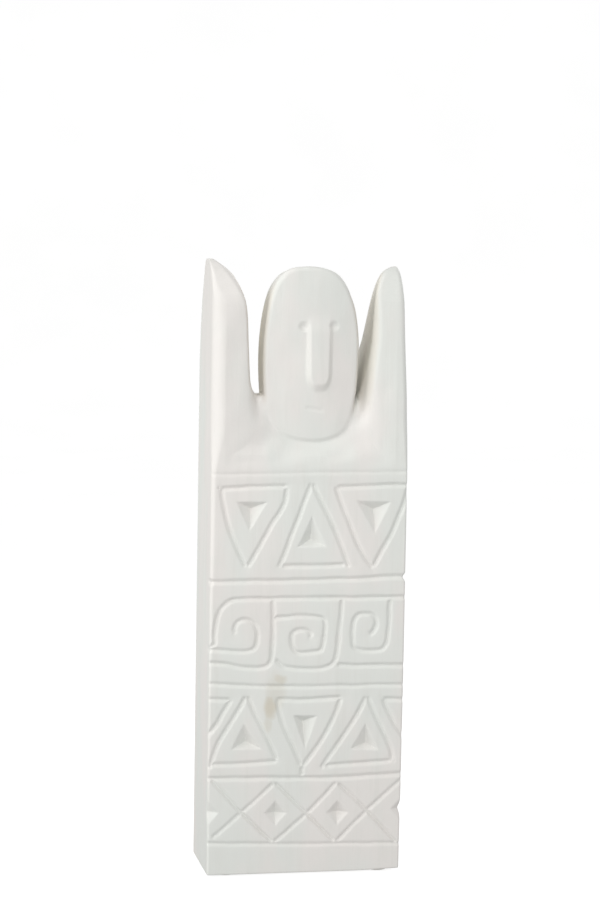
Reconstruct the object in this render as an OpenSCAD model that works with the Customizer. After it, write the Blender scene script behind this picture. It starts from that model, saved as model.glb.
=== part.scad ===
// Standing figure with a mask-like head between two raised arms, carved from a
// blank that is glued up from three upright staves. The front faces -Y, +Z is
// up, and the origin is on the ground under the middle of the base.
// A point on the front face is written [x, height above the wood's underside].

/* [Blank] */
// Width of the blank
blank_w = 194; // [190:1:198]
// Depth of the blank, front to back
blank_d = 95; // [90:1:100]
// Height of the wood, up to the tip of the left arm
blank_h = 602; // [594:1:606]
// Width of the middle stave
middle_w = 100; // [98:1:102]
// Radius of the broad rounding down the front left edge
front_left_round = 11; // [6:1:14]
// Radius of the rounding down the other upright edges
edge_round = 4; // [2:1:6]

/* [Head] */
// Width of the head
head_w = 95; // [90:1:97]
// Height of the chin
chin_z = 424; // [420:1:428]
// Height of the crown
crown_z = 593; // [586:1:596]
// How far the face lies behind the front of the blank
face_recess = 4.5; // [3:0.5:7]
// Depth of the head, face to back
head_d = 71; // [60:1:80]
// Width of the nose
nose_w = 24; // [18:1:26]

/* [Arms] */
// Height of the floor of the slots between head and arms
slot_floor = 467; // [462:1:472]
// Height of the right arm's tip
right_tip_z = 594; // [588:1:597]

/* [Carving] */
// Width of a V-groove at the surface
groove_w = 5; // [3:0.5:6]
// Depth of a V-groove
groove_d = 2.6; // [1.5:0.1:3.5]
// Depth of the pits in the triangles
pit_d = 7; // [4:0.5:9]
// Depth of the pits in the lattice
lattice_pit_d = 6; // [4:0.5:8]
// Height of the lowest crossing line of the lattice
lattice_low = 31; // [30:1:33]
// Height of the lattice's upper corners
lattice_high = 90; // [88:1:92]
// Distance between the lattice's corners
lattice_pitch = 62; // [60:1:63]

/* [Seams] */
// Diameter of the dowels that cross the seams
dowel_dia = 10; // [8:1:12]
// Length of the dowels
dowel_len = 60; // [50:2:64]
// Gap all round between a dowel and its hole
dowel_gap = 0.05; // [0.05:0.05:0.2]
// Room left for glue at each end of a dowel
dowel_end_gap = 1; // [0.5:0.5:2]

/* [Foot pads] */
// Diameter of the felt pads
pad_dia = 22; // [16:1:26]
// Thickness of the felt pads
pad_h = 2; // [1:0.5:3]
// Distance from the pads' centres to the sides of the blank
pad_inset_x = 21; // [16:1:24]
// Distance from the pads' centres to the front and back of the blank
pad_inset_y = 19; // [16:1:24]

/* [Hidden] */
half_w = blank_w / 2;
half_d = blank_d / 2;
seam_x = middle_w / 2;
past = 1; // cutting bodies start this far outside the wood
dowel_heights = [100, 230, 360];
head_x = 1; // the head stands a little right of the middle
head_mid_z = 508; // height at which the head is widest
head_mid_y = -14; // depth at which the head is widest
face_y = -half_d + face_recess;
paint = [0.88, 0.88, 0.85];
beech = [0.80, 0.65, 0.45];
felt = [0.76, 0.74, 0.69];

// ---- Lines and curves ----

function unit(v) = v / norm(v);
function left_of(v) = [-v[1], v[0]];

// Points along a cubic curve, without its last point, so that curves chain.
function curve(a, b, c, d, steps = 7) = [
    for (i = [0 : steps - 1]) let (t = i / steps, u = 1 - t)
        u * u * u * a + 3 * u * u * t * b + 3 * u * t * t * c + t * t * t * d
];

// A line whose inner corners are bends that start and end reach from the corner.
function bent(line, reach, steps = 3) = [
    line[0],
    for (i = [1 : len(line) - 2]) let (
        a = line[i] + reach * unit(line[i - 1] - line[i]),
        b = line[i] + reach * unit(line[i + 1] - line[i]))
        for (k = [0 : steps]) let (t = k / steps)
            (1 - t) * (1 - t) * a + 2 * (1 - t) * t * line[i] + t * t * b,
    line[len(line) - 1]
];

// A quarter of a superellipse from the first axis to the second, without its end.
function quarter(w, h, power, steps = 7) = [
    for (i = [0 : steps - 1]) let (t = 90 * i / steps)
        [w * pow(cos(t), 2 / power), h * pow(sin(t), 2 / power)]
];

// A closed oval with its own reach and power to each of its two ends.
function oval(w, up, up_power, down, down_power) = let (
    top = quarter(w, up, up_power), low = quarter(w, down, down_power)) concat(
    top,
    [for (i = [len(top) : -1 : 1]) i == len(top) ? [0, up] : [-top[i][0], top[i][1]]],
    [for (p = low) [-p[0], -p[1]]],
    [for (i = [len(low) : -1 : 1]) i == len(low) ? [0, -down] : [low[i][0], -low[i][1]]]
);

// ---- The carved lines of the front ----

rules = [
    [[-half_w - 3, 392.5], [half_w + 3, 395]],
    [[-half_w - 3, 288], [0, 289.5], [half_w + 3, 292]],
    [[-half_w - 3, 188.6], [half_w + 3, 184.8]],
    [[-half_w - 3, 96], [0, 94], [half_w + 3, 96.5]],
    [[-half_w - 3, 32], [0, 28.7], [half_w + 3, 26.5]]
];

// Outlines of the triangles: each has three corners.
triangles = [
    [[-87, 379], [-22.5, 380.5], [-62, 303]],
    [[-29, 303], [39, 303.5], [2, 384]],
    [[25, 380.5], [99, 382], [64, 301]],
    [[-93, 110.5], [-28.5, 111], [-59.5, 176]],
    [[-30.5, 172], [34, 172.5], [-3.5, 106]],
    [[16.5, 105], [88, 109], [60, 174]]
];

// Pits inside the triangles: three corners, then the deepest point.
pits = [
    [[-72, 365], [-42, 365], [-59.5, 338], [-57, 359]],
    [[-11.5, 322], [17, 322], [3, 351.5], [2, 328]],
    [[46, 366], [80, 365], [65, 335], [64.5, 358]],
    [[-74, 124], [-45, 124], [-61.5, 149], [-59, 130]],
    [[-13, 156], [10, 155], [-0.5, 124], [-3, 149.5]],
    [[45, 122], [72, 121], [59, 147], [60, 127]]
];

// Parts of triangles that run off the sides, and the tail of the middle one.
loose_lines = [
    [[-half_w - 3, 173.5], [-75, 173]],
    [[-75, 173], [-half_w - 3, 137]],
    [[76, 170.7], [half_w + 3, 170.5]],
    [[76, 170.7], [half_w + 3, 133]],
    [[-3.5, 106], [-3.9, 95]]
];

// The frames and the square scrolls of the middle band.
scrolls = [
    bent([[half_w + 3, 271.6], [-91, 271.6], [-91.8, 224], [-half_w - 3, 222.5]], 4.5),
    bent([[-half_w - 3, 209], [-67, 204.5], [-35, 205], [-34.5, 240], [-35.4, 272]], 7),
    bent([[-34, 213], [-27, 203], [26, 202], [33.6, 270]], 6),
    [[30, 205], [half_w + 3, 204]],
    bent([[-half_w - 3, 222.3], [-50, 219.5], [-50, 251], [-73, 251], [-71, 237]], 6.5),
    bent([[-35, 252], [17, 254.5], [14.5, 218], [-16, 218], [-16, 240], [3, 240.5], [3.5, 231]],
        4.5),
    bent([[81.7, 270], [79, 219], [44.5, 220], [45, 256], [69, 256], [67, 239], [60.5, 234]],
        5.8)
];

// The slanting lines of the lattice, from its lower corners to its upper ones and back.
lattice = [
    for (i = [0 : 2], rising = [true, false]) let (
        x = (i - 1.5) * lattice_pitch,
        low = [rising ? x : x + lattice_pitch, lattice_low],
        high = [rising ? x + lattice_pitch : x, lattice_high]) [low, high]
];

sides_of_triangles = [
    for (t = triangles, i = [0 : 2]) [t[i], t[(i + 1) % 3]]
];

carved_lines = concat(rules, sides_of_triangles, loose_lines, scrolls, lattice);

function meets(points, x0, x1) =
    min([for (p = points) p[0]]) - groove_w < x1 && max([for (p = points) p[0]]) + groove_w > x0;

// ---- Carving tools ----

// The solid that cuts a V-groove along a line, with a pointed run-out at each end.
module groove(line) {
    last = len(line) - 1;
    half_top = groove_w / 2 * (groove_d + past) / groove_d;
    run_out = groove_w / 2;
    start = line[0] - run_out * unit(line[1] - line[0]);
    end = line[last] + run_out * unit(line[last] - line[last - 1]);
    across = [for (i = [0 : last]) let (
        before = left_of(unit(line[max(i, 1)] - line[max(i, 1) - 1])),
        after = left_of(unit(line[min(i, last - 1) + 1] - line[min(i, last - 1)])))
        (before + after) / (1 + before * after)];
    top_y = -half_d - past;
    points = concat(
        [[start[0], top_y, start[1]]],
        [for (i = [0 : last], side = [0 : 2]) let (p = line[i], a = half_top * across[i])
            side == 0 ? [p[0] + a[0], top_y, p[1] + a[1]]
            : side == 1 ? [p[0] - a[0], top_y, p[1] - a[1]]
            : [p[0], -half_d + groove_d, p[1]]],
        [[end[0], top_y, end[1]]]);
    tip = len(points) - 1;
    faces = concat(
        [for (j = [0 : 2]) [0, 1 + j, 1 + (j + 1) % 3]],
        [for (i = [0 : last - 1], j = [0 : 2]) let (k = (j + 1) % 3, a = 1 + 3 * i, b = a + 3)
            [a + j, b + j, b + k, a + k]],
        [for (j = [0 : 2]) [tip - 3 + j, tip, tip - 3 + (j + 1) % 3]]);
    polyhedron(points, faces, convexity = 6);
}

// The pyramid that cuts a pit: corners on the front face, anticlockwise, and a deepest point.
module pit(corners, deepest, depth) {
    n = len(corners);
    middle = deepest;
    grow = (depth + past) / depth;
    rim = [for (c = corners) middle + grow * (c - middle)];
    polyhedron(
        concat([for (c = rim) [c[0], -half_d - past, c[1]]],
            [[middle[0], -half_d + depth, middle[1]]]),
        concat([[for (i = [n - 1 : -1 : 0]) i]],
            [for (i = [0 : n - 1]) [i, (i + 1) % n, n]]));
}

function turn(c) = let (a = c[1] - c[0], b = c[2] - c[0]) a[0] * b[1] - a[1] * b[0];

// All the cutting that reaches the stave between x0 and x1.
module front_carving(x0, x1) {
    for (line = carved_lines)
        if (meets(line, x0, x1)) groove(line);
    for (p = pits)
        if (meets([p[0], p[1], p[2]], x0, x1))
            pit(turn(p) > 0 ? [p[0], p[1], p[2]] : [p[0], p[2], p[1]], p[3], pit_d);
    for (i = [-1.5 : 1.5]) let (x = i * lattice_pitch + (abs(i) > 1 ? sign(i) * 4 : 0.5)) {
        corners = [[x - 11, 60], [x, 47], [x + 11, 60], [x, 72]];
        if (meets(corners, x0, x1)) pit(corners, [x, 60], lattice_pit_d);
    }
}

// ---- Solids shared by the staves ----

// A shape seen from the front, as deep as the blank.
module from_front(outline, depth = blank_d + 2 * past) {
    translate([0, depth / 2, 0]) rotate([90, 0, 0]) linear_extrude(depth) polygon(outline);
}

// A shape seen from the side, from x0 to x1.
module from_side(outline, x0, x1) {
    translate([x0, 0, 0]) rotate([90, 0, 90]) linear_extrude(x1 - x0) polygon(outline);
}

// The plan of the outer stave on one side, with its two outer edges rounded.
module outer_plan(side, front_round, back_round) {
    polygon(concat(
        [[side * seam_x, -half_d]],
        [for (a = [90 : -15 : 0]) [side * (half_w - front_round * (1 - sin(90 - a))),
            -half_d + front_round * (1 - cos(90 - a))]],
        [for (a = [0 : 15 : 90]) [side * (half_w - back_round * (1 - cos(a))),
            half_d - back_round * (1 - sin(a))]],
        [[side * seam_x, half_d]]));
}

// The scoop under the chin, from the front rule back to the throat.
module chest_scoop(x0, x1) {
    from_side([[-half_d - past, 396], [-half_d, 397], [-42, 411], [-35, 430], [-32, 448],
        [-31.5, slot_floor + 30], [-half_d - past, slot_floor + 30]], x0, x1);
}

module dowel_at(side, z, gap, end_gap) {
    translate([side * seam_x, 0, z]) rotate([0, 90, 0])
        cylinder(d = dowel_dia + 2 * gap, h = dowel_len + 2 * end_gap, center = true, $fn = 48);
}

module dowel_holes(side) {
    for (z = dowel_heights) dowel_at(side, z, dowel_gap, dowel_end_gap);
}

// ---- Sub-parts ----

module head() {
    up = crown_z - head_mid_z;
    down = head_mid_z - chin_z;
    fore = head_mid_y - face_y;
    aft = head_d - fore;
    turned = function (points) [for (p = points) [-p[1], p[0]]];
    intersection() {
        translate([head_x, 0, head_mid_z])
            from_front(oval(head_w / 2, up, 3, down, 3.6));
        translate([head_x, head_mid_y, 0]) linear_extrude(blank_h)
            polygon(oval(head_w / 2, aft, 2.2, fore, 5));
        translate([0, head_mid_y, head_mid_z])
            from_side(turned(oval(down, fore, 5, aft, 2.4)), -half_w, half_w);
    }
}

module nose() {
    nose_x = 8;
    low = 486;
    high = 540;
    root_y = face_y + 2;
    intersection() {
        union() {
            translate([nose_x - nose_w / 2, -half_d, low]) cube([nose_w, root_y + half_d, high - low]);
            translate([nose_x, root_y, low]) rotate([90, 0, 0])
                cylinder(d = nose_w, h = root_y + half_d, $fn = 48);
        }
        from_side([[-half_d, 474], [-half_d, 500], [face_y, high], [root_y, high], [root_y, 474]],
            nose_x - nose_w, nose_x + nose_w);
    }
}

module face_cuts() {
    for (eye = [[-8, 535], [22, 536]])
        translate([eye[0], face_y - 3, eye[1]]) sphere(r = 6, $fn = 32);
    translate([5, face_y - 4.5, 455]) rotate([0, 90, 0]) cylinder(r = 5.5, h = 20, center = true, $fn = 32);
}

module head_stave() {
    color(paint) translate([0, 0, pad_h]) difference() {
        union() {
            difference() {
                translate([-seam_x, -half_d, 0]) cube([middle_w, blank_d, slot_floor]);
                chest_scoop(-half_w, half_w);
            }
            head();
            nose();
        }
        face_cuts();
        front_carving(-seam_x, seam_x);
        dowel_holes(-1);
        dowel_holes(1);
    }
}

module left_arm_stave() {
    color(paint) translate([0, 0, pad_h]) difference() {
        intersection() {
            linear_extrude(blank_h) outer_plan(-1, front_left_round, edge_round);
            from_front(concat(
                [[-seam_x, 0], [-half_w, 0]],
                curve([-half_w, blank_h], [-82, 590], [-65, 574], [-63, 540]),
                curve([-63, 540], [-62.4, 520], [-61.6, 500], [-60.8, 484], 3),
                curve([-60.8, 484], [-60, 473], [-57, slot_floor], [-seam_x, slot_floor], 4),
                [[-seam_x, slot_floor]]));
            from_side([[-half_d, 0], [half_d, 0], [half_d, 440], [40, 525], [26, 575],
                [8, blank_h], [-18, 590], [-38, 574], [-half_d, 546]], -half_w, -seam_x);
        }
        chest_scoop(-57, 0);
        // The front of the arm falls away towards the head.
        translate([-82, -half_d, 405]) rotate([0, 0, 14]) mirror([0, 1, 0])
            cube([60, 30, blank_h]);
        front_carving(-half_w, -seam_x);
        dowel_holes(-1);
    }
}

module right_arm_stave() {
    color(paint) translate([0, 0, pad_h]) difference() {
        intersection() {
            linear_extrude(blank_h) outer_plan(1, edge_round, edge_round);
            from_front(concat(
                [[seam_x, 0], [half_w, 0]],
                curve([half_w, 396], [96.5, 460], [91.5, 530], [91, 582], 5),
                curve([91, 582], [91, 593], [89, right_tip_z + 1], [82, 593], 5),
                curve([82, 593], [73, 590], [65, 560], [61.5, 520]),
                curve([61.5, 520], [57.5, 490], [55, slot_floor], [seam_x, slot_floor], 5),
                [[seam_x, slot_floor]]));
            from_side([[-half_d, 0], [half_d, 0], [half_d, 440], [40, 535], [26, 582],
                [0, right_tip_z + 1], [-26, 590], [-half_d, 560]], seam_x, half_w);
        }
        chest_scoop(0, 55);
        front_carving(seam_x, half_w);
        dowel_holes(1);
    }
}

module seam_dowels(side) {
    color(beech) translate([0, 0, pad_h])
        for (z = dowel_heights) dowel_at(side, z, 0, 0);
}

module foot_pad(side_x, side_y) {
    color(felt) translate([side_x * (half_w - pad_inset_x), side_y * (half_d - pad_inset_y), 0])
        cylinder(d = pad_dia, h = pad_h, $fn = 48);
}

head_stave();
left_arm_stave();
right_arm_stave();
seam_dowels(-1);  // left_seam_dowels
seam_dowels(1);  // right_seam_dowels
foot_pad(-1, -1);  // foot_pad_front_left
foot_pad(1, -1);  // foot_pad_front_right
foot_pad(-1, 1);  // foot_pad_back_left
foot_pad(1, 1);  // foot_pad_back_right
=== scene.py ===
"""Looks of the carved standing figure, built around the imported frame.

The three glued staves are carved as one solid: a field of signed distances on a fine grid, whose front
is pushed back by a map of every cut. The surface is then sawn at the two seams, so that the paint runs
over the joints without a step. Lengths are in millimetres until the meshes are made, and heights are
above the wood's underside, as in the CAD file.
"""
import math

import bmesh
import bpy
import numpy as np
import openvdb
from mathutils import Euler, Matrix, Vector


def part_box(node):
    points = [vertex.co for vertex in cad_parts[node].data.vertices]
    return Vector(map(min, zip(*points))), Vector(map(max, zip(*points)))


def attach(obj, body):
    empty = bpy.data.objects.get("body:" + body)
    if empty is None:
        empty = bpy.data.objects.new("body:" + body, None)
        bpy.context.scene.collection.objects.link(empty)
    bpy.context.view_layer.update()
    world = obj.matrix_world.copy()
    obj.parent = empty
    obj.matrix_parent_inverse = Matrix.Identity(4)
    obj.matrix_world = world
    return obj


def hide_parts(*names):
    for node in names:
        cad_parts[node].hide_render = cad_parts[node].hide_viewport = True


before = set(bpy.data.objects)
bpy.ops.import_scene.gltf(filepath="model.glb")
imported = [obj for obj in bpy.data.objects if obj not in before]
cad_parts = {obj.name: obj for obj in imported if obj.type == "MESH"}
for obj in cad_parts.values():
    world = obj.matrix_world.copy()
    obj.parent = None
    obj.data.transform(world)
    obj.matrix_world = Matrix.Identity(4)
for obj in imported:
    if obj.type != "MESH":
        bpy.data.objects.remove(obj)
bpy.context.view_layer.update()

MM = 0.001
# Distance between the points of the grid that the figure is carved on.
GRID_STEP = 0.85
# How many triangles the carved wood keeps in all, so that its largest piece stays under 200,000.
MOST_TRIANGLES = 405000
SEED = 11

WOOD_LOW, WOOD_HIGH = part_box("left_arm_stave")
PAD_H = WOOD_LOW.z / MM
HALF_W = -WOOD_LOW.x / MM
HALF_D = -WOOD_LOW.y / MM
TALL = WOOD_HIGH.z / MM - PAD_H
SEAM_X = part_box("head_stave")[1].x / MM
# How far from the middle a groove ends that runs off the side of the front.
PAST = HALF_W + 4

# ---------------------------------------------------------------- small tools


def smoothstep(low, high, value):
    t = np.clip((value - low) / (high - low), 0, 1)
    return t * t * (3 - 2 * t)


def round_max(a, b, radius):
    """Intersection of two solids with their edge rounded."""
    u = np.maximum(a + radius, 0)
    v = np.maximum(b + radius, 0)
    return np.minimum(np.maximum(a, b), -radius) + np.sqrt(u * u + v * v)


def soft_min(a, b, width):
    """Union of two solids with a small hollow fillet."""
    h = np.maximum(width - np.abs(a - b), 0) / width
    return np.minimum(a, b) - h * h * width / 4


def noise(u, v, cell_u, cell_v, seed):
    """Smooth value noise from -1 to 1 on arrays u and v."""
    rng = np.random.default_rng(SEED * 1000 + seed)
    table = rng.uniform(-1, 1, (256, 256)).astype(np.float32)
    a = u / cell_u + 512.37
    b = v / cell_v + 512.71
    i, j = np.floor(a).astype(int), np.floor(b).astype(int)
    s, t = a - i, b - j
    s, t = s * s * (3 - 2 * s), t * t * (3 - 2 * t)
    i0, i1, j0, j1 = i % 256, (i + 1) % 256, j % 256, (j + 1) % 256
    low = table[i0, j0] * (1 - s) + table[i1, j0] * s
    high = table[i0, j1] * (1 - s) + table[i1, j1] * s
    return low * (1 - t) + high * t


def curve(a, b, c, d, steps=12):
    """Points along a cubic curve, without the last one."""
    a, b, c, d = (np.array(p, float) for p in (a, b, c, d))
    ts = np.arange(steps) / steps
    return [tuple((1 - t) ** 3 * a + 3 * (1 - t) ** 2 * t * b + 3 * (1 - t) * t * t * c + t ** 3 * d)
            for t in ts]


def through(points, steps=6):
    """A smooth line through the points."""
    p = [np.array(q, float) for q in points]
    p = [2 * p[0] - p[1]] + p + [2 * p[-1] - p[-2]]
    out = []
    for i in range(1, len(p) - 2):
        for k in range(steps):
            t = k / steps
            out.append(0.5 * (2 * p[i] + (p[i + 1] - p[i - 1]) * t
                              + (2 * p[i - 1] - 5 * p[i] + 4 * p[i + 1] - p[i + 2]) * t * t
                              + (3 * p[i] - p[i - 1] - 3 * p[i + 1] + p[i + 2]) * t ** 3))
    return out + [p[-2]]


def outline_distance(u, v, points):
    """Signed distance to a closed outline, negative inside."""
    best = np.full(u.shape, 1e9, np.float32)
    inside = np.zeros(u.shape, bool)
    n = len(points)
    for k in range(n):
        (ax, ay), (bx, by) = points[k], points[(k + 1) % n]
        dx, dy = bx - ax, by - ay
        t = np.clip(((u - ax) * dx + (v - ay) * dy) / max(dx * dx + dy * dy, 1e-9), 0, 1)
        best = np.minimum(best, (u - ax - t * dx) ** 2 + (v - ay - t * dy) ** 2)
        crosses = (ay > v) != (by > v)
        if dy:
            inside ^= crosses & (u < (v - ay) * dx / dy + ax)
    d = np.sqrt(best)
    return np.where(inside, -d, d)


# ---------------------------------------------------------------- the cuts in the front

# The long lines between the bands: a line, half its width and its depth.
RULES = [
    ([(-PAST, 392.4), (-40, 392.8), (30, 394.2), (PAST, 395)], 2.3, 0.8075),
    ([(-PAST, 287.8), (-50, 288.4), (0, 289.2), (50, 290.3), (PAST, 292.3)], 3.2, 2.47),
    ([(-PAST, 188.8), (-66, 187), (-35, 185.2), (0, 184.6), (PAST, 184.8)], 2.8, 2.09),
    ([(-PAST, 96), (-50, 95.2), (0, 94), (44, 94.2), (PAST, 96.8)], 3.1, 2.375),
    ([(-PAST, 32), (-50, 30.4), (0, 28.7), (50, 27.6), (PAST, 26.5)], 2.6, 1.805),
]

# Each side of a triangle is one pull of the gouge, slightly bowed.
GOUGE_HALF_W, GOUGE_D = 3.0, 2.4
TRIANGLE_SIDES = [
    [(-87, 380), (-85.5, 367), (-81, 347), (-74, 327), (-62, 302)],
    [(-88, 379), (-60, 379.5), (-22, 381)],
    [(-23, 380), (-25.5, 363), (-37, 344), (-47, 326), (-61, 301.5)],
    [(1.5, 384), (-4.5, 368), (-11, 350), (-17, 335), (-24, 315.5), (-30, 301.5)],
    [(2.3, 383.5), (11.5, 365), (19.7, 350), (26.5, 335), (33.3, 319), (38, 306), (41, 301)],
    [(-27, 303), (5, 303.3), (36, 304)],
    [(25, 381), (32, 362), (39, 345.5), (47, 327), (55, 312), (64.5, 299.5)],
    [(98, 380), (93.5, 364), (88, 350), (80.5, 331.5), (72, 317), (64, 301)],
    [(26, 380), (60, 381), (99, 382)],
    [(-PAST, 173.5), (-74.8, 173)],
    [(-74.5, 173.5), (-82.5, 160.5), (-90, 147.5), (-PAST, 134)],
    [(-60, 176), (-69, 160), (-79, 144), (-87, 130.5), (-92, 117), (-94.5, 108)],
    [(-59, 176), (-51.5, 159.5), (-44, 144.5), (-36, 129), (-28.5, 111.5)],
    [(-91, 110), (-60, 110), (-28, 111.5)],
    [(-31, 172), (0, 171.8), (35, 173)],
    [(-30, 172.5), (-25, 153), (-17.5, 135), (-10, 119), (-4, 106)],
    [(34.2, 173), (28, 156), (19, 138), (8.5, 122), (-3, 106)],
    [(-3.7, 107), (-3.9, 95)],
    [(59.5, 174), (51, 157), (40.3, 139.7), (30, 125), (21.5, 113), (15.5, 103)],
    [(60.5, 174), (68.5, 155.5), (76.5, 139), (84.3, 123), (87, 109.5)],
    [(19, 105.5), (44, 107), (86.5, 109.5)],
    [(76, 170.8), (PAST, 170.2)],
    [(76, 171), (83, 156.5), (89.5, 144.5), (PAST, 129)],
]

SCROLLS = [
    [(PAST, 271.8), (40, 271.4), (-20, 271.6), (-66, 271), (-77.5, 269), (-84.5, 263.5), (-89, 256),
     (-91, 246), (-91.8, 236), (-92, 227), (-PAST, 221.5)],
    [(-PAST, 209.3), (-81.5, 208), (-67, 204.8), (-52, 203.4), (-41, 205), (-36, 211), (-34.6, 224),
     (-34.4, 240), (-35, 256), (-35.4, 272)],
    [(-31.5, 212), (-24, 205), (-15.5, 203), (-7.5, 202.2), (7.5, 201.9), (17, 203), (25, 207),
     (29.5, 219), (31.5, 238), (32.8, 255), (33.6, 271)],
    [(29, 205.5), (50, 204.6), (PAST, 203.8)],
    [(-PAST, 222.4), (-82, 221), (-66, 219.8), (-56.5, 220.8), (-51, 225), (-49.6, 235),
     (-51.3, 244), (-57, 249.2), (-64.5, 250.7), (-70.5, 247.8), (-72.8, 242), (-71.4, 236.5)],
    [(-35, 252), (-27, 253), (-8, 253.8), (8, 253), (15.2, 250.4), (17, 243.7), (16.2, 234),
     (15, 225), (12, 219.7), (2, 218.4), (-9, 218.2), (-14.5, 222.5), (-16.2, 230.4), (-15, 237),
     (-10, 240), (-2.5, 240), (1.7, 237.3), (3.3, 231.5)],
    [(81.7, 270), (81.3, 254), (80.2, 239), (79, 228), (75, 221), (67, 219.3), (53, 219.8),
     (46, 222.6), (44.6, 230), (44.5, 240), (46, 249.3), (50.3, 254.6), (56.5, 255.7), (62.5, 255),
     (67, 251), (68, 244.5), (65.6, 238), (61, 234.6)],
]

# The lattice, in the same form. Its falling lines are narrower and deeper than its rising ones.
LATTICE = [
    ([(-90, 38.5), (-64, 61), (-48, 75), (-31.5, 90)], 2.6, 2.0),
    ([(-31.5, 31), (2.5, 60), (31, 89.5)], 2.6, 2.0),
    ([(31, 29.5), (63, 61.5), (PAST, 95)], 2.6, 2.0),
    ([(-92, 93.5), (-64, 62), (-31.5, 31)], 2.48, 2.8),
    ([(-30.5, 90.5), (0.6, 60), (30, 30)], 2.48, 2.8),
    ([(32.5, 88.5), (61, 61.5), (91, 28.5)], 2.48, 2.8),
]

# Corners of each pit, and its deepest point.
TRIANGLE_PITS = [
    ([(-72.5, 365.5), (-41.5, 365.5), (-59.5, 337.5)], (-57, 358.5)),
    ([(2.8, 352), (-12, 321.5), (17.2, 321.5)], (2.2, 328.5)),
    ([(46, 366.5), (80.5, 365.5), (65.3, 334)], (64.4, 358)),
    ([(-61.7, 149.5), (-74.5, 123.7), (-44.5, 123.7)], (-58.5, 130.5)),
    ([(-13.6, 156.3), (10.3, 155.2), (-0.4, 123)], (-2.8, 149.3)),
    ([(59, 147.5), (44.6, 121.7), (72.5, 120.3)], (60.5, 127)),
]
TRIANGLE_PIT_D = 7.0
LATTICE_PITS = [(-97, 62.5), (-29.5, 60), (32, 59.3), (97.5, 61)]
LATTICE_PIT_D = 6.0
LATTICE_PIT_HALF = (11.5, 12.5)


# A groove is at full depth RUN_OUT - RUN_ON inside each end of its line. RUN_ON keeps the end itself visible.
RUN_OUT, RUN_ON = 5.0, 1.2
# How blunt the gouge's corner is, as a square, and how soft the groove's shoulders are.
BLUNT_SQUARED, SHOULDER = 0.5, 0.45
# How far from its line a groove is worked out, and how near the figure's sides it no longer fades.
CUT_REACH, SIDE_BAND = 8, 8


def groove_map(x, z, line, half_width, depth):
    """Depth of one V-groove, soft at its shoulders and shallower at its two ends."""
    points = np.array(through(line), float)
    low = points.min(0) - CUT_REACH
    high = points.max(0) + CUT_REACH
    part = (x[:, 0] > low[0]) & (x[:, 0] < high[0])
    rows = (z[0] > low[1]) & (z[0] < high[1])
    out = np.zeros(x.shape, np.float32)
    if not part.any() or not rows.any():
        return out
    window = np.ix_(part, rows)
    u, v = x[window], z[window]
    steps = np.diff(points, axis=0)
    lengths = np.hypot(steps[:, 0], steps[:, 1])
    starts = np.concatenate([[0], np.cumsum(lengths)])
    total = starts[-1]
    best = np.full(u.shape, 1e9)
    along = np.zeros(u.shape)
    for k, (dx, dy) in enumerate(steps):
        ax, ay = points[k]
        t = np.clip(((u - ax) * dx + (v - ay) * dy) / max(lengths[k] ** 2, 1e-9), 0, 1)
        d = np.hypot(u - ax - t * dx, v - ay - t * dy)
        nearer = d < best
        best = np.where(nearer, d, best)
        along = np.where(nearer, starts[k] + t * lengths[k], along)
    fade = smoothstep(0, RUN_OUT, along + RUN_ON) * smoothstep(0, RUN_OUT, total - along + RUN_ON)
    fade = np.maximum(fade, (np.abs(u) > HALF_W - SIDE_BAND))
    rounded = np.sqrt(best * best + BLUNT_SQUARED)
    wall = depth * fade * (1 - rounded / half_width)
    # The second term takes off what the soft shoulder would still add far from the groove.
    soft = np.sqrt(wall * wall + SHOULDER * SHOULDER)
    out[window] = 0.5 * (wall + soft) - 0.5 * (
        np.sqrt((depth * 3) ** 2 + SHOULDER * SHOULDER) - depth * 3)
    return out


def pit_map(x, z, corners, deepest, depth):
    """Depth of a pyramid-shaped pit."""
    share = np.full(x.shape, 1e9, np.float32)
    n = len(corners)
    for k in range(n):
        (ax, ay), (bx, by) = corners[k], corners[(k + 1) % n]
        side = (bx - ax) * (z - ay) - (by - ay) * (x - ax)
        at_deepest = (bx - ax) * (deepest[1] - ay) - (by - ay) * (deepest[0] - ax)
        share = np.minimum(share, side / at_deepest)
    wall = depth * share
    return 0.5 * (wall + np.sqrt(wall * wall + 0.09))


def carving_depth(x, z):
    """Depth of every groove and pit at each point of the front."""
    wobble_x = 0.45 * noise(x, z, 17, 17, 1) + 0.2 * noise(x, z, 6, 6, 2)
    wobble_z = 0.45 * noise(x, z, 17, 17, 3) + 0.2 * noise(x, z, 6, 6, 4)
    u, v = x + wobble_x, z + wobble_z
    vary = 1 + 0.16 * noise(x, z, 14, 14, 5)
    depth = np.zeros(x.shape, np.float32)
    for line, half_width, deep in RULES + LATTICE:
        depth = np.maximum(depth, groove_map(x, v, line, half_width, deep) * vary)
    for line in TRIANGLE_SIDES:
        depth = np.maximum(depth, groove_map(x, v, line, GOUGE_HALF_W, GOUGE_D) * vary)
    for line in SCROLLS:
        depth = np.maximum(depth, groove_map(u, v, line, GOUGE_HALF_W, GOUGE_D) * vary)
    for corners, deepest in TRIANGLE_PITS:
        depth = np.maximum(depth, pit_map(u, v, corners, deepest, TRIANGLE_PIT_D))
    half_x, half_z = LATTICE_PIT_HALF
    for px, pz in LATTICE_PITS:
        corners = [(px, pz + half_z), (px - half_x, pz), (px, pz - half_z), (px + half_x, pz)]
        depth = np.maximum(depth, pit_map(u, v, corners, (px + 0.5, pz + 0.3), LATTICE_PIT_D))
    return depth


# ---------------------------------------------------------------- the large forms

SLOT_FLOOR = 467.0

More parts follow.
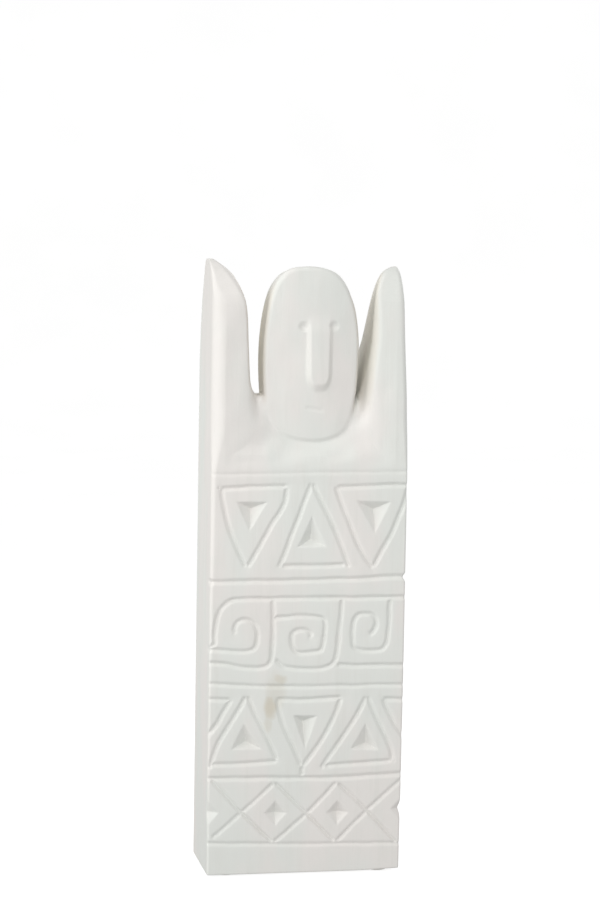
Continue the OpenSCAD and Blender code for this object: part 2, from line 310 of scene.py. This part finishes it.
# The empty space between and above the arms, in the front plane. The head is added inside it afterwards.
GAP_OUTLINE = (
    [(-140, 640), (-124, 622)]
    + curve((-111, 606), (-91, 594), (-64, 581), (-62, 541))
    + curve((-62, 541), (-61, 520), (-60.2, 500), (-59.2, 486), 5)
    + curve((-59.2, 486), (-58.4, 475), (-55, 469), (-46, SLOT_FLOOR - 0.5), 6)
    + [(-40, SLOT_FLOOR), (40, SLOT_FLOOR)]
    + curve((50, SLOT_FLOOR), (54, 468), (56, 490), (60, 520), 6)
    + curve((60, 520), (61.5, 548), (60, 579), (69, 589))
    + curve((69, 589), (73, 593), (78, 596), (85, 597.5), 6)
    + [(140, 606), (140, 640)]
)
# The empty space to the right of the right arm.
RIGHT_OF_ARM = (
    [(91, 640), (91.2, 600)] + curve((91.2, 588), (91.2, 572), (92.8, 530), (94.8, 490))
    + curve((94.8, 490), (96, 465), (96.8, 435), (HALF_W + 0.6, 396)) + [(140, 380), (140, 640)]
)

# Side views (depth, height) of the arms' tips.
LEFT_TIP_SIDE = ([(-80, -20), (80, -20), (80, 400)]
                 + curve((54, 452), (45, 528), (29, 594), (6, 600.5))
                 + curve((6, 600.5), (-13, 605), (-40, 588), (-47.5, 546))
                 + [(-50, 530), (-80, 400)])
RIGHT_TIP_SIDE = ([(-80, -20), (80, -20), (80, 400)]
                  + curve((54, 452), (45, 520), (32, 594), (0, 597.5))
                  + curve((0, 597.5), (-20, 599), (-41, 590), (-47.5, 552))
                  + [(-50, 530), (-80, 400)])
# How far the gap beside the left tip moves to the right for each millimetre back.
LEAN_OF_LEFT_TIP = 0.194

HEAD_OUTLINE = [
    (-3, 593.4), (-19, 591.5), (-29.2, 585), (-37.5, 572), (-42.4, 553), (-45.8, 525), (-46.6, 502),
    (-45.9, 480), (-44.3, 462), (-41.5, 448), (-36.5, 437.5), (-28, 429.8), (-15, 425), (3, 423),
    (17, 424.5), (31, 430), (38.5, 438.5), (43, 452), (46, 468), (47.6, 483), (48.6, 512),
    (47.4, 532), (44, 551.5), (39.6, 564), (33.5, 577), (24.5, 586.8), (11, 592)]
# Middle of the face, where its bow is highest, and half its width and height.
HEAD_MIDDLE = (1.0, 508.0)
FACE_HALF = (46, 85)
# Depths of the face, of the back of the head and of the plane between their two roundings.
HEAD_MID_Y = -14.0
FACE_Y = -46.0
HEAD_BACK_Y = 28.0
NOSE_X = 8.0
NOSE_HALF = 11.8
NOSE_TIP_Z = 474.0
NOSE_CORNER = 9.5
# Below 1, it draws the nose's lower end out into a longer slope.
NOSE_END = 0.62
EYES = [(-8, 535), (22, 536)]
MOUTH = (4, 455)
MOUTH_HALF = 5.5


def chest_and_arm_depth(x, z):
    """How far the front is cut back by the scoop under the chin and the falling faces of the arms."""
    # The scoop, deepest in the middle, with the knife's unevenness.
    chest = 7 * smoothstep(394, 452, z) + 8 * np.exp(-(x / 42) ** 2) * smoothstep(402, 440, z)
    chest = chest + 0.8 * noise(x, z, 19, 12, 21) * smoothstep(398, 412, z)
    # Each arm falls away towards the head, faster the nearer it comes.
    left = 0.12 * np.maximum(x + 84, 0) + 0.011 * np.maximum(x + 70, 0) ** 2
    right = 0.12 * np.maximum(84 - x, 0) + 0.020 * np.maximum(70 - x, 0) ** 2
    arm = np.where(x < 0, left, right) * smoothstep(394, 414, z)
    # The front is eased back around the lower end of each slot.
    mouth_of_slot = np.where(x < 0, 8, 15) * np.exp(-((np.abs(x) - 50) / 6.5) ** 2) * smoothstep(436, 472, z)
    sharp = np.minimum(chest, arm)
    return sharp + (soft_min(chest, arm, 10.0) - sharp) * smoothstep(402, 436, z) + mouth_of_slot


def arm_facets(x, z):
    """Broad flats left by the knife on the arms, worked out as planes of a coarse random relief."""
    relief = noise(x + 0.4 * z, z, 24, 46, 31) + 0.6 * noise(x - 0.3 * z, z, 13, 29, 32)
    inner_left = smoothstep(-82, -62, x) * smoothstep(505, 560, z) * (x < 0)
    return (0.55 * relief + 0.9) * smoothstep(398, 425, z) + 1.3 * inner_left


def face_depth(x, z):
    """Depth of the face behind the forehead and the ridge of the nose."""
    low_face = 3.8 * smoothstep(582, 500, z)
    beside = np.maximum(np.abs(x - NOSE_X) - NOSE_HALF + NOSE_CORNER, 0)
    below = NOSE_END * np.maximum(NOSE_TIP_Z + NOSE_CORNER / NOSE_END - z, 0)
    d = np.hypot(beside, below) - NOSE_CORNER
    flare = 0.6 * smoothstep(520, 480, z)
    nose = (1 - smoothstep(-3.4 - flare, 2.0, d)) * smoothstep(549, 528, z)
    depth = low_face * (1 - nose)
    across = (x - HEAD_MIDDLE[0]) / FACE_HALF[0]
    upright = (z - HEAD_MIDDLE[1]) / FACE_HALF[1]
    depth = depth + 4.0 * across ** 2 + 1.8 * upright ** 2
    for ex, ez in EYES:
        r = np.hypot(x - ex, z - ez)
        depth = depth + 2.0 * smoothstep(6.2, 0.6, r)
    slant = z - MOUTH[1] + 0.16 * (x - MOUTH[0] - 1)
    mouth = np.hypot(np.maximum(np.abs(x - MOUTH[0]) - MOUTH_HALF, 0), slant * 1.3)
    depth = depth + 0.5 * smoothstep(5.0, 0.0, mouth)
    return depth + 0.3 * noise(x, z, 15, 24, 41)


# ---------------------------------------------------------------- the solid


# Where grooves and pits run out over the front edges: height, half height, share of the depth.
LEFT_NICKS = [(287.6, 4, 1.0), (222, 4, 0.6)]
RIGHT_NICKS = [(291.3, 4.5, 1.0), (61.5, 6, 0.8)]


def nicks(z, places):
    """How strongly the edge is nicked at each height."""
    return sum(share * np.maximum(1 - np.abs(z - height) / half, 0) for height, half, share in places)


# How much wider than a dowel its hole is, as a radius, and how much deeper at each end.
HOLE_CLEARANCE, HOLE_SPARE = 0.05, 1


def shifted(field, x, shift):
    """The field, given on the even x positions, read at x - shift. Shift holds one value a column."""
    h = x[1] - x[0]
    at = np.clip((x[:, None] - shift[None, :] - x[0]) / h, 0, len(x) - 1.001)
    i = at.astype(int)
    t = at - i
    cols = np.arange(field.shape[1])[None, :]
    return field[i, cols] * (1 - t) + field[i + 1, cols] * t


def carve():
    """The field of signed distances of the whole figure, with the grid's first point."""
    h = GRID_STEP
    first = np.array([-HALF_W - 4 * h + 0.03, -HALF_D - 4 * h + 0.05, -4 * h + 0.07])
    counts = np.ceil((np.array([HALF_W, HALF_D, TALL + 4 * h]) + 4 * h - first) / h).astype(int)
    xs, ys, zs = (first[k] + h * np.arange(counts[k]) for k in range(3))
    x, z = np.meshgrid(xs, zs, indexing="ij")

    front = -HALF_D + 0.35 + carving_depth(x, z) + chest_and_arm_depth(x, z) + arm_facets(x, z)
    front = front + 0.25 * (1 + noise(x, z, 30, 70, 51)) * smoothstep(392, 380, z)
    back = HALF_D - 0.3 - 0.35 * (1 + noise(x, z, 26, 90, 52)) - 0.25 * (1 + noise(x, z, 9, 60, 53))
    gap = -outline_distance(x, z, GAP_OUTLINE)
    head_flat = outline_distance(x, z, [tuple(p) for p in through(HEAD_OUTLINE + HEAD_OUTLINE[:1], 4)])
    face = FACE_Y + face_depth(x, z)

    # The right slot opens towards the back: how far its wall has moved there, at each height.
    flare = 7 + np.minimum(0.17 * np.maximum(zs - 516, 0), 11.5) - 0.14 * np.maximum(516 - zs, 0)
    outer = -outline_distance(x, z, RIGHT_OF_ARM)
    wide = 1.0 * smoothstep(0, 110, z) + 0.5 * smoothstep(110, 220, z)
    lean = LEAN_OF_LEFT_TIP * smoothstep(546, 590, zs)
    base = 0.2 + 1.2 * smoothstep(50, HALF_W, x) - z
    left_tip = outline_distance(*np.meshgrid(ys, zs, indexing="ij"), LEFT_TIP_SIDE)
    right_tip = outline_distance(*np.meshgrid(ys, zs, indexing="ij"), RIGHT_TIP_SIDE)
    # Radii of the rounded edges.
    left_edge = 2.6 + 2.2 * smoothstep(180, 390, z) + 8.2 * smoothstep(388, 440, z)
    left_round = 0.5 + 3.0 * smoothstep(596, 556, z)
    right_round = 3.5 + 6.0 * smoothstep(588, 535, z)
    taper = 0.045 + 0.03 * smoothstep(535, 585, z)
    right_edge = 2.0 + 3.5 * smoothstep(390, 440, z)
    tip_round = np.where(x < 0, 0.6 + 3.6 * smoothstep(599, 580, z), 5.0)
    left_nick, right_nick = nicks(z, LEFT_NICKS), nicks(z, RIGHT_NICKS)
    field = np.empty(tuple(counts), np.float32)
    for j, y in enumerate(ys):
        side_wave = 0.25 * (1 + noise(np.full(zs.shape, y), zs, 24, 80, 61))
        side_wave_r = 0.15 * (1 + noise(np.full(zs.shape, y), zs, 24, 80, 62))
        left = -HALF_W + side_wave[None, :] - x
        right = x - HALF_W + 1.5 - wide + side_wave_r[None, :]
        right = right + 2.4 * right_nick * smoothstep(-22, -44, y)
        left = left + 1.8 * left_nick * smoothstep(-28, -44, y)
        t = (y + HALF_D) / (2 * HALF_D)
        left_shift = lean * (y + HALF_D) - 2.5 * t * smoothstep(560, 520, zs)
        moved = np.where(x > 0, shifted(gap, xs, flare * t), shifted(gap, xs, left_shift))
        open_gap = np.where(np.abs(x) < 30, gap, moved)
        edge_round = np.where(x < 0, left_round, right_round * (1 - 0.6 * smoothstep(-25, 15, y)))
        tip = np.where(x < 0, left_tip[j][None, :], right_tip[j][None, :])
        faces = round_max(front - y, left, left_edge)
        faces = round_max(faces, np.maximum(right, outer), right_edge)
        faces = round_max(faces, y - back, 4.0)
        faces = round_max(faces, base, 1.5)
        faces = round_max(faces, open_gap, edge_round)
        body = round_max(faces, tip, tip_round)
        if y < HEAD_MID_Y:
            rim, flat = 4.6, face - y
        else:
            rim, flat = 30.0, np.full(x.shape, y - HEAD_BACK_Y)
        head = round_max(head_flat + taper * max(y + 36, 0), flat, rim)
        field[:, j, :] = soft_min(body, head, 3.0)
        holes = np.full(x.shape, 50.0)
        for height in DOWEL_HEIGHTS:
            off = np.hypot(y, z - height) - DOWEL_R - HOLE_CLEARANCE
            for side in (-1, 1):
                past_end = np.abs(x - side * SEAM_X) - DOWEL_HALF - HOLE_SPARE
                holes = np.minimum(holes, np.maximum(off, past_end))
        block = np.maximum(max(-HALF_D - y, y - HALF_D), z - TALL)
        field[:, j, :] = np.maximum(np.maximum(field[:, j, :], -holes), block)
    return field, first


# ---------------------------------------------------------------- dowels


def solid_spans(node):
    """The boxes of a node's separate dowels, from its lowest to its highest, as (low, high) heights."""
    heights = sorted({round(v.co.z / MM, 1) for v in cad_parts[node].data.vertices})
    spans = [[heights[0], heights[0]]]
    for value in heights[1:]:
        if value - spans[-1][1] > 20:
            spans.append([value, value])
        spans[-1][1] = value
    return spans


DOWEL_SPANS = solid_spans("left_seam_dowels")
DOWEL_HEIGHTS = [(low + high) / 2 - PAD_H for low, high in DOWEL_SPANS]
DOWEL_R = (DOWEL_SPANS[0][1] - DOWEL_SPANS[0][0]) / 2
DOWEL_HALF = (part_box("left_seam_dowels")[1].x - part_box("left_seam_dowels")[0].x) / 2 / MM


# ---------------------------------------------------------------- from the field to meshes


def read_field(field, first, points):
    """The field at any points, in millimetres above the wood's underside."""
    at = (points - first) / GRID_STEP
    i = np.clip(np.floor(at).astype(int), 0, np.array(field.shape) - 2)
    t = at - i
    out = 0
    for a in (0, 1):
        for b in (0, 1):
            for c in (0, 1):
                weight = ((t[:, 0] if a else 1 - t[:, 0]) * (t[:, 1] if b else 1 - t[:, 1])
                          * (t[:, 2] if c else 1 - t[:, 2]))
                out = out + weight * field[i[:, 0] + a, i[:, 1] + b, i[:, 2] + c]
    return out


def field_normals(field, first, points, reach):
    """Outward directions of the field at the points."""
    sides = []
    for axis in range(3):
        step = np.zeros(3)
        step[axis] = reach
        sides.append(read_field(field, first, points + step) - read_field(field, first, points - step))
    normals = np.stack(sides, 1)
    return normals / np.maximum(np.linalg.norm(normals, axis=1, keepdims=True), 1e-9)


def mesh_points(mesh):
    points = np.empty(len(mesh.vertices) * 3)
    mesh.vertices.foreach_get("co", points)
    return points.reshape(-1, 3)


def whole_figure():
    """The carved figure as one closed mesh, thinned out where it is flat, with its true normals."""
    field, first = carve()
    grid = openvdb.FloatGrid(3.0)
    grid.copyFromArray(np.clip(field, -3, 3))
    points, quads = grid.convertToQuads(0.0)
    points = points.astype(float) * GRID_STEP + first
    mesh = bpy.data.meshes.new("whole_figure")
    mesh.from_pydata((points * MM).tolist(), [], quads.tolist())
    figure = bpy.data.objects.new("whole_figure", mesh)
    bpy.context.scene.collection.objects.link(figure)
    thin = figure.modifiers.new("thin", "DECIMATE")
    thin.ratio = min(1.0, MOST_TRIANGLES / (2 * len(quads)))
    depsgraph = bpy.context.evaluated_depsgraph_get()
    thinned = bpy.data.meshes.new_from_object(figure.evaluated_get(depsgraph))
    bpy.data.objects.remove(figure)
    bpy.data.meshes.remove(mesh)
    points = mesh_points(thinned) / MM
    normals = field_normals(field, first, points, 0.5 * GRID_STEP)
    # How deep in a hollow each point lies; the paint uses it to paint shade into grooves and recesses.
    hollow = (read_field(field, first, points + 3 * normals) - 3) / 3
    for name, kind, values in (("carved_normal", "FLOAT_VECTOR", normals), ("hollow", "FLOAT", hollow)):
        layer = thinned.attributes.new(name, kind, "POINT")
        key = "vector" if kind == "FLOAT_VECTOR" else "value"
        layer.data.foreach_set(key, values.astype(np.float32).ravel())
    points[:, 2] += PAD_H
    thinned.vertices.foreach_set("co", (points * MM).ravel())
    return thinned


def saw(whole, name, low_x, high_x):
    """The piece of the figure between two seams, closed with a flat glued face at each."""
    bm = bmesh.new()
    bm.from_mesh(whole)
    flat = bm.faces.layers.int.new("glued")
    for x, outward in ((low_x, -1), (high_x, 1)):
        if x is None:
            continue
        everything = bm.verts[:] + bm.edges[:] + bm.faces[:]
        cut = bmesh.ops.bisect_plane(bm, geom=everything, plane_co=(x * MM, 0, 0),
                                     plane_no=(outward, 0, 0), clear_outer=True)
        rim = [e for e in cut["geom_cut"] if isinstance(e, bmesh.types.BMEdge) and e.is_boundary]
        filled = bmesh.ops.triangle_fill(bm, edges=rim, use_beauty=True, normal=(outward, 0, 0))
        for face in filled["geom"]:
            if isinstance(face, bmesh.types.BMFace):
                face[flat] = outward
    bmesh.ops.triangulate(bm, faces=bm.faces[:])
    mesh = bpy.data.meshes.new(name)
    bm.to_mesh(mesh)
    bm.free()
    mesh.shade_smooth()
    carved = np.empty(len(mesh.vertices) * 3, np.float32)
    mesh.attributes["carved_normal"].data.foreach_get("vector", carved)
    corner = np.empty(len(mesh.loops), np.int32)
    mesh.loops.foreach_get("vertex_index", corner)
    glued = np.empty(len(mesh.polygons), np.int32)
    mesh.attributes["glued"].data.foreach_get("value", glued)
    normals = carved.reshape(-1, 3)[corner]
    glued = np.repeat(glued, 3)
    normals[glued != 0] = 0
    normals[glued != 0, 0] = glued[glued != 0]
    mesh.normals_split_custom_set(normals.tolist())
    piece = bpy.data.objects.new(name, mesh)
    bpy.context.scene.collection.objects.link(piece)
    return piece


# ---------------------------------------------------------------- materials


class Paint:
    """A short way to write a node material."""

    def __init__(self, name):
        self.material = bpy.data.materials.new(name)
        self.material.use_nodes = True
        self.nodes = self.material.node_tree.nodes
        self.links = self.material.node_tree.links
        self.shader = self.nodes["Principled BSDF"]
        self.place = self.nodes.new("ShaderNodeTexCoord").outputs["Object"]

    def node(self, kind, inputs=None, **settings):
        n = self.nodes.new("ShaderNode" + kind)
        for key, value in settings.items():
            setattr(n, key, value)
        for key, value in (inputs or {}).items():
            if isinstance(value, bpy.types.NodeSocket):
                self.links.new(value, n.inputs[key])
            else:
                n.inputs[key].default_value = value
        return n

    def stretched(self, scale, shift=(0, 0, 0)):
        return self.node("Mapping", {"Vector": self.place, "Scale": scale, "Location": shift}).outputs[0]

    def noise(self, vector, scale, detail=4, rough=0.5, distortion=0.0):
        return self.node("TexNoise", {"Vector": vector, "Scale": scale, "Detail": detail,
                                      "Roughness": rough, "Distortion": distortion}).outputs["Fac"]

    def math(self, operation, a, b=0.0):
        return self.node("Math", {0: a, 1: b}, operation=operation).outputs[0]

    def ramp(self, value, low, high, out_low=0.0, out_high=1.0):
        return self.node("MapRange", {"Value": value, "From Min": low, "From Max": high,
                                      "To Min": out_low, "To Max": out_high},
                         interpolation_type="SMOOTHSTEP").outputs[0]

    def mix(self, share, a, b):
        n = self.node("Mix", data_type="RGBA")
        for index, value in ((0, share), (6, a), (7, b)):
            if isinstance(value, bpy.types.NodeSocket):
                self.links.new(value, n.inputs[index])
            else:
                n.inputs[index].default_value = value
        return n.outputs[2]

    def bump(self, height, distance, strength=1.0, under=None):
        inputs = {"Height": height, "Distance": distance, "Strength": strength}
        if under is not None:
            inputs["Normal"] = under
        return self.node("Bump", inputs).outputs[0]

    def link(self, socket, value):
        if isinstance(value, bpy.types.NodeSocket):
            self.links.new(value, self.shader.inputs[socket])
        else:
            self.shader.inputs[socket].default_value = value


# Brown that has come through the paint from a knot: middle x and height, half width, half height, strength.
KNOT_SPOTS = [(-24, 193, 7, 5, 0.7), (-33, 164, 6.5, 11, 1.0), (-28, 180, 9, 20, 0.35), (-35, 148, 4, 8, 0.4)]


def knot_share(p):
    """How much of the knot shows through, on the front only."""
    wavy = p.node("TexNoise", {"Vector": p.place, "Scale": 55.0, "Detail": 3.0}).outputs["Color"]
    sway = p.node("VectorMath", {0: wavy, 1: (0.008, 0.0, 0.014)}, operation="MULTIPLY").outputs[0]
    bent = p.node("VectorMath", {0: p.place, 1: sway}, operation="ADD").outputs[0]
    x, y, z = p.node("SeparateXYZ", {"Vector": bent}).outputs
    total = 0.0
    for middle_x, middle_z, half_w, half_h, strength in KNOT_SPOTS:
        # The sway moves everything 1 mm right and 7 mm up on average.
        u = p.math("DIVIDE", p.math("SUBTRACT", x, (middle_x + 1) * MM), half_w * MM)
        v = p.math("DIVIDE", p.math("SUBTRACT", z, (middle_z + PAD_H + 7) * MM), half_h * MM)
        away = p.math("ADD", p.math("MULTIPLY", u, u), p.math("MULTIPLY", v, v))
        total = p.math("MAXIMUM", total, p.ramp(away, 1.7, 0.0, 0.0, strength))
    return p.math("MULTIPLY", total, p.ramp(y, -0.030, -0.036))


def white_paint():
    p = Paint("white_paint")
    wide = p.noise(p.stretched((1, 1, 0.45)), 16, 3)
    blotch = p.noise(p.stretched((1, 1, 0.6), (3, 1, 2)), 45, 4)
    streak = p.noise(p.stretched((1, 1, 0.06), (2, 7, 1)), 120, 4, 0.65, 0.5)
    grain = p.noise(p.stretched((1, 1, 0.035)), 900, 3, 0.6, 0.4)
    pores = p.noise(p.stretched((1, 1, 0.02), (5, 2, 1)), 1600, 2)
    colour = p.mix(p.ramp(wide, 0.38, 0.62), (0.765, 0.780, 0.745, 1), (0.800, 0.775, 0.745, 1))
    colour = p.mix(p.ramp(blotch, 0.48, 0.72, 0, 0.30), colour, (0.735, 0.745, 0.705, 1))
    colour = p.mix(p.ramp(streak, 0.50, 0.72, 0, 0.22), colour, (0.690, 0.690, 0.645, 1))
    colour = p.mix(p.ramp(grain, 0.52, 0.74, 0, 0.05), colour, (0.58, 0.56, 0.50, 1))
    hollow = p.node("Attribute", attribute_name="hollow").outputs["Fac"]
    # Painted shade: a warm beige darkening mixed into grooves, pits and other hollows, stronger the deeper
    # the hollow.
    colour = p.mix(p.ramp(hollow, -0.15, -0.9, 0, 0.35), colour, (0.70, 0.62, 0.50, 1))
    facing = p.node("SeparateXYZ", {"Vector": p.node("TexCoord").outputs["Normal"]}).outputs[0]
    # Painted shade: a beige-brown darkening on the walls that face each other inside the slots, where the
    # head and the arms shade each other.
    x, _, z = p.node("SeparateXYZ", {"Vector": p.place}).outputs
    from_middle = p.math("ABSOLUTE", x)
    inside = p.math("MULTIPLY", p.ramp(from_middle, 0.082, 0.070), p.ramp(from_middle, 0.033, 0.042))
    inside = p.math("MULTIPLY", inside, p.ramp(z, 0.440, 0.500))
    sideways = p.ramp(p.math("ABSOLUTE", facing), 0.35, 0.9)
    slot_painted_shade = p.math("MULTIPLY", p.math("MULTIPLY", inside, sideways), 0.32)
    colour = p.mix(slot_painted_shade, colour, (0.70, 0.62, 0.49, 1))
    colour = p.mix(p.math("MULTIPLY", knot_share(p), 0.40), colour, (0.50, 0.40, 0.24, 1))
    p.link("Base Color", colour)
    p.link("Roughness", p.ramp(blotch, 0.3, 0.7, 0.60, 0.76))
    p.shader.inputs["Specular IOR Level"].default_value = 0.35
    rough = p.bump(p.math("ADD", grain, p.math("MULTIPLY", pores, 0.5)), 0.00008, 0.6)
    rough = p.bump(streak, 0.0006, 0.35, rough)
    p.link("Normal", p.bump(blotch, 0.0006, 0.5, rough))
    return p.material


def wool_felt():
    p = Paint("wool_felt")
    fibres = p.noise(p.place, 2600, 6, 0.75, 1.5)
    clumps = p.noise(p.place, 420, 3)
    p.link("Base Color", p.mix(p.ramp(fibres, 0.35, 0.65), (0.66, 0.64, 0.59, 1), (0.82, 0.81, 0.77, 1)))
    p.shader.inputs["Roughness"].default_value = 0.95
    p.shader.inputs["Sheen Weight"].default_value = 0.4
    p.link("Normal", p.bump(fibres, 0.0003, 0.9, p.bump(clumps, 0.0004, 0.6)))
    return p.material


def beech():
    p = Paint("beech")
    growth = p.noise(p.stretched((0.05, 1, 1)), 420, 4, 0.6, 0.6)
    flecks = p.noise(p.stretched((0.06, 1, 1), (1, 3, 5)), 2400, 2)
    colour = p.mix(p.ramp(growth, 0.35, 0.65), (0.60, 0.41, 0.24, 1), (0.47, 0.29, 0.155, 1))
    p.link("Base Color", p.mix(p.ramp(flecks, 0.60, 0.72, 0, 0.6), colour, (0.26, 0.14, 0.07, 1)))
    p.shader.inputs["Roughness"].default_value = 0.62
    p.link("Normal", p.bump(p.math("ADD", growth, flecks), 0.0002, 0.6))
    return p.material


# ---------------------------------------------------------------- dowels and pads


def ringed_mesh(rings, bm):
    """Joins rings of points, in order, and closes both ends."""
    made = [[bm.verts.new(p) for p in ring] for ring in rings]
    n = len(rings[0])
    for a, b in zip(made, made[1:]):
        for k in range(n):
            bm.faces.new((a[k], a[(k + 1) % n], b[(k + 1) % n], b[k]))
    bm.faces.new(made[0][::-1])
    bm.faces.new(made[-1])


def piece_from(bm, name, node, material):
    bmesh.ops.recalc_face_normals(bm, faces=bm.faces[:])
    mesh = bpy.data.meshes.new(name)
    bm.to_mesh(mesh)
    bm.free()
    mesh.shade_smooth()
    mesh.set_sharp_from_angle(angle=math.radians(35))
    piece = bpy.data.objects.new(name, mesh)
    bpy.context.scene.collection.objects.link(piece)
    mesh.materials.append(material)
    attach(piece, "root")
    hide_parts(node)


def fluted_dowels(node, material):
    """Three pins with chamfered ends and straight pressed flutes."""
    low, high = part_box(node)
    middle_x = (low.x + high.x) / 2
    bm = bmesh.new()
    flutes, around = 20, 160
    for bottom, top in DOWEL_SPANS:
        rings = []
        ends = [(1.0, 0.74, 0.0), (0.985, 0.82, 0.0), (0.955, 0.955, 0.5), (0.93, 1.0, 1.0)]
        stations = [(-a, r, f) for a, r, f in ends] + [(a / 10 * 0.9, 1.0, 1.0) for a in range(-9, 10)]
        stations += [(a, r, f) for a, r, f in ends[::-1]]
        for along, radius, fluted in stations:
            ring = []
            for k in range(around):
                angle = 2 * math.pi * k / around
                cut = max(0.0, math.cos(flutes * angle)) ** 1.5 * 0.32 * fluted
                r = DOWEL_R * radius - cut
                ring.append((middle_x + along * DOWEL_HALF * MM, r * math.cos(angle) * MM,
                             ((bottom + top) / 2 + r * math.sin(angle)) * MM))
            rings.append(ring)
        ringed_mesh(rings, bm)
    piece_from(bm, node + "_fluted", node, material)


def pressed_pad(node, seed, material):
    """A disc of felt, its rim bulging a little under the weight and its underside worn."""
    low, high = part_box(node)
    middle, radius, height = (low + high) / 2, (high.x - low.x) / 2 / MM, (high.z - low.z) / MM
    rng = np.random.default_rng(SEED + seed)
    waves = [(rng.uniform(0, 2 * math.pi), rng.uniform(0.3, 1.0)) for _ in range(9)]
    bm = bmesh.new()
    rings, around = [], 144
    profile = [(0.25, 0.02), (0.6, 0.015), (0.86, 0.01), (0.93, 0.04), (0.975, 0.16), (0.995, 0.38),
               (1.0, 0.56), (0.99, 0.78), (0.97, 0.95), (0.955, 1.0), (0.6, 1.0), (0.25, 1.0)]
    for reach, level in profile:
        ring = []
        for k in range(around):
            angle = 2 * math.pi * k / around
            uneven = sum(w * math.sin((i + 2) * angle + a) for i, (a, w) in enumerate(waves)) / 9
            r = radius * reach * (1 - 0.012 * (1 + uneven) * (reach > 0.9))
            dent = 0.05 * (1 + math.sin(7 * angle + seed + 9 * reach)) * (level < 0.03)
            ring.append((middle.x + r * math.cos(angle) * MM, middle.y + r * math.sin(angle) * MM,
                         low.z + (height * level + dent) * MM))
        rings.append(ring)
    ringed_mesh(rings, bm)
    piece_from(bm, node + "_felt", node, material)


# ---------------------------------------------------------------- the pieces

whole = whole_figure()
paint = white_paint()
for name, node, low, high in (("left_arm_stave_carved", "left_arm_stave", None, -SEAM_X),
                              ("head_stave_carved", "head_stave", -SEAM_X, SEAM_X),
                              ("right_arm_stave_carved", "right_arm_stave", SEAM_X, None)):
    stave = saw(whole, name, low, high)
    stave.data.materials.append(paint)
    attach(stave, "root")
    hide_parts(node)
bpy.data.meshes.remove(whole)

beech_wood, felt = beech(), wool_felt()
for node in ("left_seam_dowels", "right_seam_dowels"):
    fluted_dowels(node, beech_wood)
for seed, node in enumerate(sorted(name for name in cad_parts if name.startswith("foot_pad"))):
    pressed_pad(node, seed, felt)

# ---------------------------------------------------------------- camera, floor and light

scene = bpy.context.scene
camera = bpy.data.objects.new("camera", bpy.data.cameras.new("camera"))
scene.collection.objects.link(camera)
camera.data.lens = 89.2
camera.data.sensor_width = 36
camera.data.clip_end = 50
camera.location = (-0.420, -2.160, 0.567)
ahead = Vector((0.1897, 0.9794, -0.0691))
level = ahead.to_track_quat("-Z", "Y").to_matrix()
roll = Euler((0, 0, math.radians(0.9))).to_matrix()
camera.rotation_euler = (level @ roll).to_euler()
scene.camera = camera

scene.view_settings.view_transform = "Standard"


# Radius of the flat floor, radius of its bend, and height of the wall, in metres.
FLOOR_R, FLOOR_BEND, WALL_H = 6.0, 2.0, 6.0


def stage_floor():
    """A round pale floor that turns up into a wall far out, so that every view has the same ground."""
    profile = [(0.5, 0.0), (1.0, 0.0), (2.5, 0.0), (FLOOR_R, 0.0)]
    for k in range(1, 13):
        a = math.radians(90 * k / 12)
        profile.append((FLOOR_R + FLOOR_BEND * math.sin(a), FLOOR_BEND * (1 - math.cos(a))))
    profile.append((FLOOR_R + FLOOR_BEND, WALL_H))
    around = 96
    bm = bmesh.new()
    rings = []
    for r, z in profile:
        turns = [2 * math.pi * k / around for k in range(around)]
        rings.append([bm.verts.new((r * math.cos(t), r * math.sin(t), z)) for t in turns])
    bm.faces.new(rings[0])
    for inner, outer in zip(rings, rings[1:]):
        for k in range(around):
            bm.faces.new((inner[k], outer[k], outer[(k + 1) % around], inner[(k + 1) % around]))
    mesh = bpy.data.meshes.new("floor")
    bm.to_mesh(mesh)
    bm.free()
    mesh.shade_smooth()
    floor = bpy.data.objects.new("floor", mesh)
    scene.collection.objects.link(floor)
    p = Paint("floor")
    cloudy = p.ramp(p.noise(p.place, 3), 0.3, 0.7)
    p.link("Base Color", p.mix(cloudy, (0.49, 0.49, 0.49, 1), (0.52, 0.52, 0.515, 1)))
    p.shader.inputs["Roughness"].default_value = 0.9
    p.shader.inputs["Specular IOR Level"].default_value = 0.0
    p.shader.inputs["Emission Color"].default_value = (1, 1, 1, 1)
    p.shader.inputs["Emission Strength"].default_value = 0.72
    mesh.materials.append(p.material)
    # The floor only shows: the even light of the room reaches the figure from below as well.
    floor.visible_diffuse = False
    floor.visible_glossy = False
    floor.visible_shadow = False


def soft_spot(name, place, aim, radius, power, cone, colour=(1, 1, 1)):
    """A round light that fades towards the rim of its cone. The cone is in degrees and the power in watts."""
    light = bpy.data.lights.new(name, "SPOT")
    light.shadow_soft_size = radius
    light.energy = power
    light.spot_size = math.radians(cone)
    light.spot_blend = 1.0
    light.color = colour
    obj = bpy.data.objects.new(name, light)
    obj.location = place
    obj.rotation_euler = (Vector(aim) - Vector(place)).to_track_quat("-Z", "Y").to_euler()
    scene.collection.objects.link(obj)


stage_floor()
soft_spot("key", (-0.85, -2.10, 1.42), (0, 0, 0.30), radius=0.42, power=100, cone=50,
          colour=(1.0, 0.997, 0.99))
soft_spot("left_fill", (-2.5, -0.45, 1.35), (0, 0, 0.40), radius=0.7, power=128, cone=40)
soft_spot("back_fill", (1.9, 1.9, 1.3), (0, 0, 0.32), radius=0.8, power=150, cone=50)
world = bpy.data.worlds.new("studio")
scene.world = world
world.use_nodes = True
even_light = world.node_tree.nodes["Background"].inputs
even_light["Color"].default_value = (1, 1, 1, 1)
even_light["Strength"].default_value = 0.56
